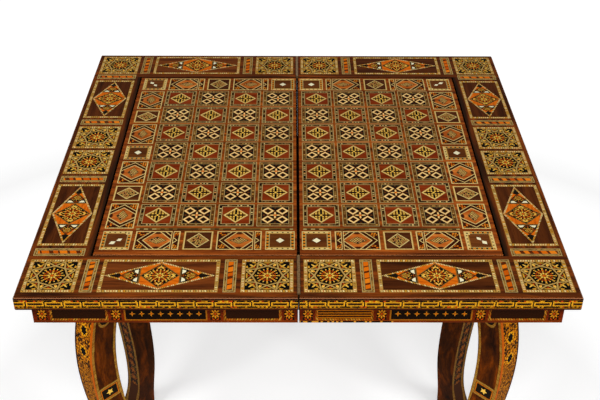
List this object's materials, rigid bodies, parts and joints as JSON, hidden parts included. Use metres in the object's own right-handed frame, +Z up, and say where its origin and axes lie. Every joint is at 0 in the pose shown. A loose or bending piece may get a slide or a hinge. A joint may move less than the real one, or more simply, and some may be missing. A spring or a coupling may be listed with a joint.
{
  "type": "folding swivel-top games table",
  "caption": "Folding swivel-top games table with inlaid lift-out chessboard over backgammon trays, on curved legs.",
  "frame": {"origin": "on the floor under the middle of the opened top", "axes": "+Z up, +Y away from the near edge, +X to the right; the fold's seam runs along Y"},
  "size_m": [0.8, 0.77, 0.7828],
  "materials": {
    "walnut_frame": "satin varnished walnut",
    "walnut_tray": "satin varnished dark walnut",
    "board_walnut": "satin varnished walnut",
    "leg_walnut": "satin varnished walnut",
    "hidden_beech": "plain",
    "red_mosaic": "polished wood mosaic",
    "dark_mosaic": "polished wood mosaic",
    "border_mosaic": "polished wood mosaic",
    "gold_mosaic": "polished wood mosaic",
    "bar_mosaic": "polished wood mosaic",
    "panel_mosaic": "polished wood mosaic",
    "point_veneer": "polished veneer",
    "brass_hinge": "tarnished brass",
    "steel_fastener": "zinc plated",
    "felt": "felt",
    "glide_plastic": "matt"
  },
  "bodies": {
    "stand": {"leg_front_left": "leg_walnut", "leg_front_right": "leg_walnut", "leg_back_left": "leg_walnut", "leg_back_right": "leg_walnut", "corner_blocks": "hidden_beech", "leg_bolts": "steel_fastener", "foot_glides": "glide_plastic", "apron_front": "walnut_frame", "apron_back": "walnut_frame", "apron_left": "walnut_frame", "apron_right": "walnut_frame", "swivel_platform": "walnut_tray", "platform_screws": "steel_fastener", "slide_pads": "felt", "pivot_bush": "brass_hinge"},
    "left_half": {"left_rail_near": "walnut_frame", "left_rail_far": "walnut_frame", "left_rail_outer": "walnut_frame", "left_wall_near": "walnut_tray", "left_wall_far": "walnut_tray", "left_wall_outer": "walnut_tray", "left_wall_seam": "walnut_tray", "left_tray_floor": "walnut_tray", "left_points": "point_veneer", "left_well_liner": "walnut_tray", "left_board_bearers": "hidden_beech", "left_board_half": "board_walnut", "left_dark_squares": "dark_mosaic", "left_red_squares": "red_mosaic", "left_border_tiles": "border_mosaic", "left_frame_mosaics": "gold_mosaic", "left_frame_bars": "bar_mosaic", "left_frame_panels": "panel_mosaic", "left_hinge_leaves": "brass_hinge", "left_hinge_screws": "steel_fastener", "pivot_bolt": "steel_fastener", "pivot_washer": "steel_fastener", "pivot_nut": "steel_fastener", "swivel_stop_peg": "steel_fastener", "hinge_pins": "brass_hinge"},
    "right_half": {"right_rail_near": "walnut_frame", "right_rail_far": "walnut_frame", "right_rail_outer": "walnut_frame", "right_wall_near": "walnut_tray", "right_wall_far": "walnut_tray", "right_wall_outer": "walnut_tray", "right_wall_seam": "walnut_tray", "right_tray_floor": "walnut_tray", "right_points": "point_veneer", "right_well_liner": "walnut_tray", "right_board_bearers": "hidden_beech", "right_board_half": "board_walnut", "right_dark_squares": "dark_mosaic", "right_red_squares": "red_mosaic", "right_border_tiles": "border_mosaic", "right_frame_mosaics": "gold_mosaic", "right_frame_bars": "bar_mosaic", "right_frame_panels": "panel_mosaic", "right_hinge_leaves": "brass_hinge", "right_hinge_screws": "steel_fastener"}
  },
  "joints": [
    {"name": "swivel", "type": "hinge", "parent": "stand", "child": "left_half", "pos_m": [-0.1, 0.1, 0.717], "axis": [0, 0, 1], "range_deg": [0, 90]},
    {"name": "fold", "type": "hinge", "parent": "left_half", "child": "right_half", "pos_m": [0, 0, 0.7804], "axis": [0, -1, 0], "range_deg": [0, 180]}
  ]
}
